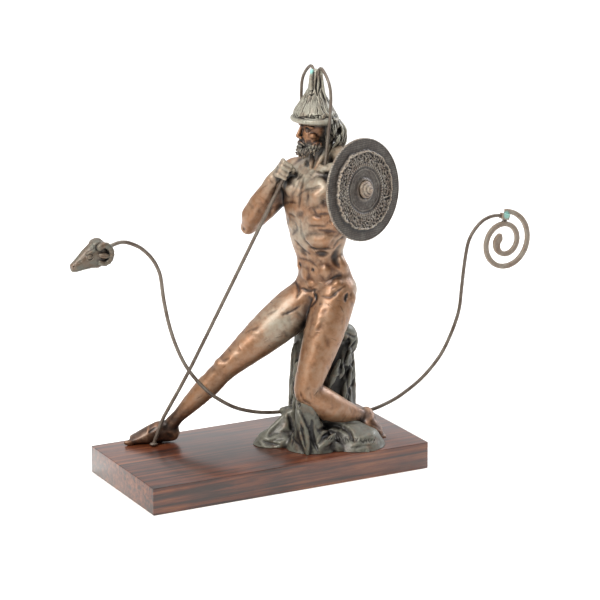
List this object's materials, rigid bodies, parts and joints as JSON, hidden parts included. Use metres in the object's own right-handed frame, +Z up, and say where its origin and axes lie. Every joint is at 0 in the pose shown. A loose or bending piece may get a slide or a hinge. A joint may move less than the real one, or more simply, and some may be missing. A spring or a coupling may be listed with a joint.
{
  "type": "bronze traveller statue",
  "caption": "Table bronze of a bearded traveller half seated on a draped stump, with staff, round shield and two curved rods, on a wooden plinth.",
  "frame": {"origin": "middle of the plinth's underside", "axes": "+X along the plinth's long side, -Y towards its front, +Z up"},
  "size_m": [0.5606, 0.1694, 0.4422],
  "materials": {
    "wood": "satin varnished reddish-brown hardwood",
    "bronze": "patinated cast bronze, brown with polished copper highs and grey-green recesses",
    "green_bronze": "grey-green patinated cast bronze with coarse relief",
    "rod_bronze": "dark grey-brown patinated bronze rod"
  },
  "bodies": {
    "root": {"plinth": "wood", "statue": "bronze", "shield": "green_bronze", "ram_head": "green_bronze", "staff": "rod_bronze", "helmet_loop_left": "rod_bronze", "helmet_loop_right": "rod_bronze", "prow_rod": "rod_bronze", "stern_rod": "rod_bronze", "spiral": "rod_bronze"}
  },
  "joints": []
}
